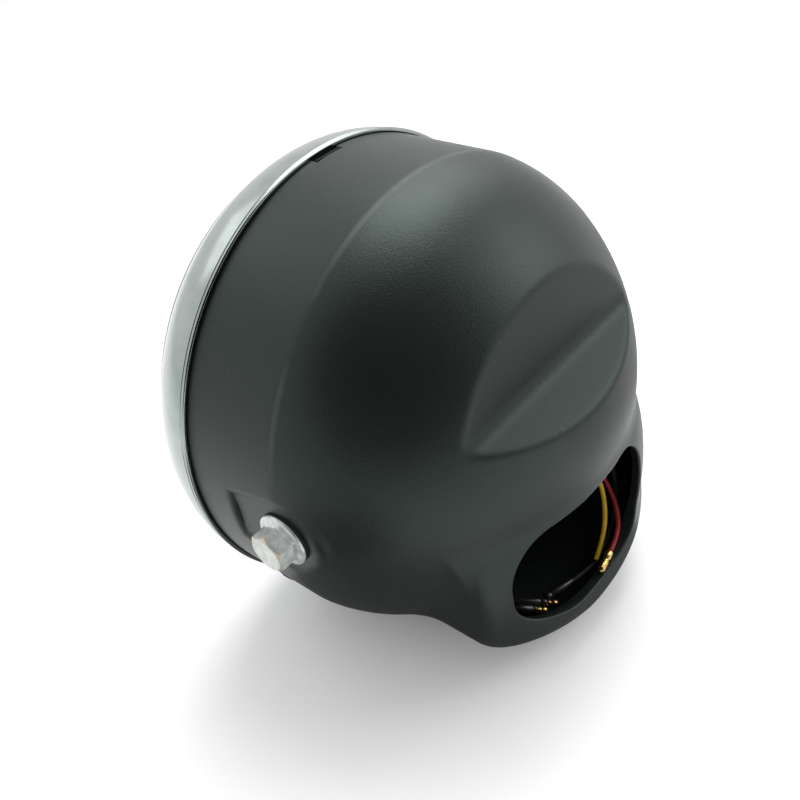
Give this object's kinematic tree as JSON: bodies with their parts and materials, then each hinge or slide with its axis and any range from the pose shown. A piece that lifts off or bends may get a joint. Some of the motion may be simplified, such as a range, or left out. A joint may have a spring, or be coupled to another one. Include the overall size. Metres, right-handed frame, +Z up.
{
  "type": "motorcycle headlight",
  "caption": "Round motorcycle headlight with a black domed rear shell, chrome trim ring, side bolts, an enclosed LED unit and short wires at a rear cable opening.",
  "frame": {"origin": "where the line through the two side bolts crosses the lamp's front-to-back axis", "axes": "+X along the side bolts towards the lamp's left-hand bolt as a rider sits, +Y back towards the rider, +Z up"},
  "size_m": [0.1772, 0.1279, 0.1674],
  "materials": {
    "shell_black": "satin with a fine grain",
    "chrome_plate": "polished",
    "strip_steel": "zinc plated",
    "black_steel": "black, satin",
    "zinc_steel": "zinc plated, bright",
    "rubber": "matte",
    "clear_lens": "clear",
    "metallised": "mirror",
    "cast_alloy": "die cast, matte",
    "plate_alloy": "milled",
    "led_phosphor": "smooth",
    "board_green": "lacquered",
    "black_cover": "satin",
    "wire_yellow": "smooth",
    "wire_red": "smooth",
    "wire_black": "smooth",
    "sleeve_black": "gloss",
    "brass": "bright"
  },
  "bodies": {
    "root": {"rear_shell": "shell_black", "trim_ring": "chrome_plate", "ring_tabs": "strip_steel", "ring_clip_nuts": "strip_steel", "ring_screws": "black_steel", "ring_hook": "black_steel", "side_bolt_right": "zinc_steel", "side_bolt_left": "zinc_steel", "bolt_washer_right": "rubber", "bolt_washer_left": "rubber", "bolt_nut_right": "zinc_steel", "bolt_nut_left": "zinc_steel", "front_lens": "clear_lens", "lens_gasket": "rubber", "reflector": "metallised", "lamp_housing": "cast_alloy", "led_carrier": "plate_alloy", "led_chips": "led_phosphor", "led_shield": "metallised", "driver_board": "board_green", "driver_cover": "black_cover", "wire_gland": "rubber", "spring_clips": "strip_steel", "wire_yellow": "wire_yellow", "wire_red": "wire_red", "wire_black_long": "wire_black", "wire_black_inner": "wire_black", "wire_black_outer": "wire_black", "sleeve_long": "sleeve_black", "sleeve_inner": "sleeve_black", "sleeve_outer": "sleeve_black", "terminal_red": "brass", "terminal_inner": "brass", "terminal_outer": "brass"}
  },
  "joints": []
}
